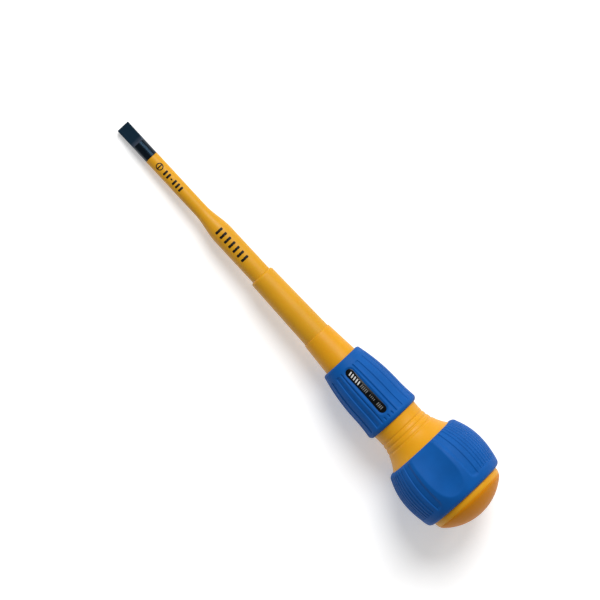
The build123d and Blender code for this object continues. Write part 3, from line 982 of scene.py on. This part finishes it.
class SCREWDRIVER_OT_ball_grip(Operator):
    """Build the blue ball grip with its thumb dimples, sunk panels and rib grooves"""

    bl_idname = "screwdriver.ball_grip"
    bl_label = "Ball grip"

    def execute(self, context):
        handle, sizes, colours = settings(context, "handle", "ball", "colours")
        start, end = span("ball_grip")
        front, rear = (start, sizes.front_face), (end, sizes.rear_face)
        corner = point_on(ball_radius, sizes, start + sizes.front_round)
        shoulder = point_on(ball_radius, sizes, end - sizes.rear_round)
        outline = joined(
            line((start, handle.grip_seat_front), front, steps=4),
            arc(front, np.add((start, 0), BALL_FRONT_CORNER), corner, steps=10),
            outside(ball_radius, sizes, corner[0], shoulder[0], steps=84),
            arc(shoulder, np.add((end, 0), BALL_REAR_CORNER), rear, steps=10),
            line(rear, (end, handle.grip_seat_rear), steps=3),
            grip_seat(handle, steps=10)[1:][::-1],
        )
        sector = math.tau / sizes.sectors
        offsets = (np.arange(sizes.rib_grooves) - (sizes.rib_grooves - 1) / 2) * sizes.rib_pitch

        def crowding(angle):
            """Close columns at the rib grooves, at the crisp walls and at the panel borders."""
            from_panel = folded(angle - sector / 2, sector)
            near = np.abs(from_panel[..., None] - offsets).min(-1) < sizes.rib_width / sizes.crest_radius
            wall = np.abs(np.abs(from_panel) - sizes.channel_inner) < math.radians(1.2)
            border = np.abs(np.abs(from_panel) - sizes.panel_half) < math.radians(2.5)
            return 1 + GROOVE_CROWD * near + WALL_CROWD * wall + border

        angle = crowded_angles(BALL_COLUMNS, crowding)[None, :]
        station, radius = outline[:, :1], outline[:, 1:]
        from_dimple, from_panel = folded(angle, sector), folded(angle - sector / 2, sector)
        high = sizes.dimple_axis
        reach = np.maximum((high - dimple_floor(station)) ** 2 - (high * np.sin(from_dimple)) ** 2, 0)
        hollow = lesser(radius, high * np.cos(from_dimple) - np.sqrt(reach), sizes.dimple_edge)
        around = np.abs(from_panel) * sizes.crest_radius
        corner_size = sizes.panel_corner
        aside = around - (sizes.panel_half * sizes.crest_radius - corner_size)
        ahead = station - (sizes.panel_end - corner_size)
        off_panel = np.hypot(np.maximum(aside, 0), np.maximum(ahead, 0)) - corner_size
        off_panel = off_panel + np.minimum(np.maximum(aside, ahead), 0)
        side_step = 1 - smooth_step(-sizes.channel_slope, 0, off_panel)
        rear_step = 1 - smooth_step(-sizes.panel_fade, 0, station - sizes.panel_end)
        in_channel = smooth_step(0, sizes.channel_wall, around - sizes.channel_inner * sizes.crest_radius)
        depth = np.minimum(side_step, rear_step) * (sizes.panel_depth + sizes.channel_depth * in_channel)
        for offset in offsets:
            off_rib = (from_panel - offset) * radius
            depth = depth + groove(off_rib, station - sizes.rib_end, sizes.rib_width, sizes.rib_depth)
        on_outside = smooth_step(handle.grip_seat_front + sizes.wall_left, sizes.front_face, radius)
        grids = [tube(placed(station, hollow - depth * on_outside, angle))]
        blue = soft_rubber("ball_blue_rubber", colours.grip_blue)
        add_piece("ball_grip_soft", grids, blue, ["ball_grip"])
        return {"FINISHED"}


# ---------------------------------------------------------------- printed marks


def bar_pad(station, long, wide, surface, lean=0.0):
    """A thin pad of ink over +Z on a round surface: |x / a|^n + |y / b|^n = 1 in (station, arc).

    Its outline leans along the tool by lean per unit of height.
    """
    x, y = superellipse(40, INK_POWER)
    share = np.array([0.1, 0.5, 0.94, 1.0, 1.0, 0.1])[:, None]
    height = np.array([INK_TOP] * 3 + [INK_EDGE] + [INK_FOOT] * 2)[:, None]
    across = share * y * wide / 2
    where = station + share * x * long / 2 + lean * across
    radius = surface(where)
    return capped(placed(where, radius + height, across / radius))


def bar_pads(rows, surface, lean=0.0):
    """Pads of ink for rows of (stations, size along the tool, size across it), in millimetres."""
    return [
        bar_pad(station * MM, long * MM, wide * MM, surface, lean)
        for stations, long, wide in rows for station in stations
    ]


def ring_pad(station, outer, inner, surface):
    """A thin ring of ink over +Z: a closed loop of heights carried round a circle in (station, arc)."""
    turn = even_angles(48)
    reach = np.array([inner, inner + INK_BEVEL, outer - INK_BEVEL, outer, outer, inner])[:, None]
    height = np.array([INK_EDGE, INK_TOP, INK_TOP, INK_EDGE, INK_FOOT, INK_FOOT])[:, None]
    where = station + reach * np.cos(turn)
    radius = surface(where)
    return tube(placed(where, radius + height, reach * np.sin(turn) / radius))


class SCREWDRIVER_OT_shaft_marks(Operator):
    """Print the black marks on the shaft: a slot pictogram with bars, and a row of bars on the thick part"""

    bl_idname = "screwdriver.shaft_marks"
    bl_label = "Shaft marks"

    def execute(self, context):
        sizes, colours = settings(context, "shaft", "colours")

        def shaft(station):
            """Outside of the insulation at a station."""
            return shaft_radius(station, sizes)

        station, outer, inner = SLOT_RING
        grids = [ring_pad(station * MM, outer * MM, inner * MM, shaft), *bar_pads(SHAFT_BARS, shaft)]
        ink = printed_ink("shaft_black_ink", colours.ink_black)
        add_piece("shaft_printed_marks", grids, ink)
        return {"FINISHED"}


class SCREWDRIVER_OT_label_marks(Operator):
    """Print the pale marks on the label plate: bold leaning bars in front, fine bars behind"""

    bl_idname = "screwdriver.label_marks"
    bl_label = "Label marks"

    def execute(self, context):
        sizes, colours = settings(context, "sleeve", "colours")

        def plate(station):
            """Outside of the label plate at a station."""
            return sleeve_radius(station, sizes) - sizes.label_sink

        white = printed_ink("label_white_print", colours.print_white)
        grey = printed_ink("label_grey_print", colours.print_grey)
        add_piece("label_bold_marks", bar_pads(BOLD_BARS, plate, BOLD_LEAN), white)
        add_piece("label_fine_marks", bar_pads(FINE_BARS, plate), grey)
        return {"FINISHED"}


# ---------------------------------------------------------------- stage


class SCREWDRIVER_OT_stage(Operator):
    """Set the pale floor, the soft studio lights and the camera"""

    bl_idname = "screwdriver.stage"
    bl_label = "Stage"

    def execute(self, context):
        scene = context.scene
        self.floor(scene, *settings(context, "blade", "ball", "colours"))
        self.lights(scene)
        self.camera(scene)
        scene.view_settings.view_transform = "Standard"
        return {"FINISHED"}

    def floor(self, scene, blade, ball, colours):
        """Plane that the tool lies on: it touches the shank under its flats and the ball."""
        heel = Vector((blade.runout_end, -blade.shank_radius))
        centre = Vector((ball.crest, ball.front_curve - ball.crest_radius))
        to_centre = centre - heel
        slope = math.atan2(to_centre.y, to_centre.x) - math.asin(ball.front_curve / to_centre.length)
        along = np.array((math.cos(slope), 0, math.sin(slope)))
        contact = np.array((heel.x, 0, heel.y - FLOOR_GAP))
        ticks = np.linspace(-FLOOR_REACH, FLOOR_REACH, FLOOR_STEPS)
        u, v = np.meshgrid(ticks, ticks, indexing="ij")
        points = contact + u[..., None] * along + v[..., None] * np.array((0, 1, 0))
        ids = np.arange(FLOOR_STEPS**2).reshape(FLOOR_STEPS, FLOOR_STEPS)
        quads = np.stack([ids[:-1, :-1], ids[1:, :-1], ids[1:, 1:], ids[:-1, 1:]], -1).reshape(-1, 4)
        mesh = bpy.data.meshes.new("studio_floor")
        mesh.from_pydata(points.reshape(-1, 3), [], quads.tolist())
        mesh.update()
        mesh.materials.append(studio_floor("floor_paper", colours.floor_white))
        floor = bpy.data.objects.new("studio_floor", mesh)
        scene.collection.objects.link(floor)

    def lights(self, scene):
        """A large soft key light, a small light for the edge of the round steel, and a pale world."""
        for name, direction, size, power in LIGHTS:
            light = bpy.data.lights.new(name, "AREA")
            light.shape = "DISK"
            light.size = size
            light.energy = power
            lamp = bpy.data.objects.new(name, light)
            way = Vector(direction).normalized()
            lamp.location = Vector(LIGHT_AIM) + LIGHT_DISTANCE * way
            lamp.rotation_euler = way.to_track_quat("Z", "Y").to_euler()
            scene.collection.objects.link(lamp)
        world = bpy.data.worlds.new("pale_world")
        world.use_nodes = True
        background = world.node_tree.nodes["Background"]
        background.inputs["Color"].default_value = (1, 1, 1, 1)
        background.inputs["Strength"].default_value = WORLD_STRENGTH
        scene.world = world

    def camera(self, scene):
        """Camera square to the tool axis, which runs down to the right. The label faces just below it."""
        along = Vector((1, 0, 0))
        towards = Vector((0, math.sin(CAMERA_LEAN), math.cos(CAMERA_LEAN)))
        side = towards.cross(along)
        right = math.cos(CAMERA_ROLL) * along + math.sin(CAMERA_ROLL) * side
        up = -math.sin(CAMERA_ROLL) * along + math.cos(CAMERA_ROLL) * side
        target = CAMERA_AIM[0] * along + CAMERA_AIM[1] * side
        data = bpy.data.cameras.new("camera")
        data.sensor_width = CAMERA_SENSOR
        data.lens = CAMERA_SENSOR * CAMERA_DISTANCE / CAMERA_VIEW
        data.clip_end = 20
        camera = bpy.data.objects.new("camera", data)
        turn = Matrix((right, up, towards)).transposed().to_4x4()
        camera.matrix_world = Matrix.Translation(target + CAMERA_DISTANCE * towards) @ turn
        scene.collection.objects.link(camera)
        scene.camera = camera


# ---------------------------------------------------------------- panel and registration


PIECES = (
    SCREWDRIVER_OT_blade,
    SCREWDRIVER_OT_shaft_insulation,
    SCREWDRIVER_OT_shaft_collar,
    SCREWDRIVER_OT_handle_core,
    SCREWDRIVER_OT_handle_body,
    SCREWDRIVER_OT_end_cap,
    SCREWDRIVER_OT_front_sleeve,
    SCREWDRIVER_OT_label_plate,
    SCREWDRIVER_OT_ball_grip,
    SCREWDRIVER_OT_shaft_marks,
    SCREWDRIVER_OT_label_marks,
    SCREWDRIVER_OT_stage,
)

SETTINGS = {
    "screwdriver_blade": BladeSizes,
    "screwdriver_shaft": ShaftSizes,
    "screwdriver_handle": HandleSizes,
    "screwdriver_sleeve": SleeveSizes,
    "screwdriver_ball": BallSizes,
    "screwdriver_colours": Colours,
}


class SCREWDRIVER_PT_pieces(Panel):
    """Lists the pieces and the settings of the screwdriver"""

    bl_idname = "SCREWDRIVER_PT_pieces"
    bl_label = "Screwdriver"
    bl_space_type = "VIEW_3D"
    bl_region_type = "UI"
    bl_category = "Screwdriver"

    def draw(self, context):
        """One button for each operator, and one box for each group of settings."""
        for piece in PIECES:
            self.layout.operator(piece.bl_idname)
        for name in SETTINGS:
            box = self.layout.box()
            group = getattr(context.scene, name)
            for setting in group.__annotations__:
                box.prop(group, setting)


def register():
    """Registers the settings, the operators and the panel."""
    for group in SETTINGS.values():
        bpy.utils.register_class(group)
    for name, group in SETTINGS.items():
        setattr(bpy.types.Scene, name, PointerProperty(type=group))
    for piece in PIECES:
        bpy.utils.register_class(piece)
    bpy.utils.register_class(SCREWDRIVER_PT_pieces)


def unregister():
    """Removes what register added, in the opposite order."""
    bpy.utils.unregister_class(SCREWDRIVER_PT_pieces)
    for piece in reversed(PIECES):
        bpy.utils.unregister_class(piece)
    for name, group in reversed(SETTINGS.items()):
        delattr(bpy.types.Scene, name)
        bpy.utils.unregister_class(group)


def main():
    register()
    for piece in PIECES:
        group, action = piece.bl_idname.split(".")
        getattr(getattr(bpy.ops, group), action)()


if __name__ == "__main__":
    main()
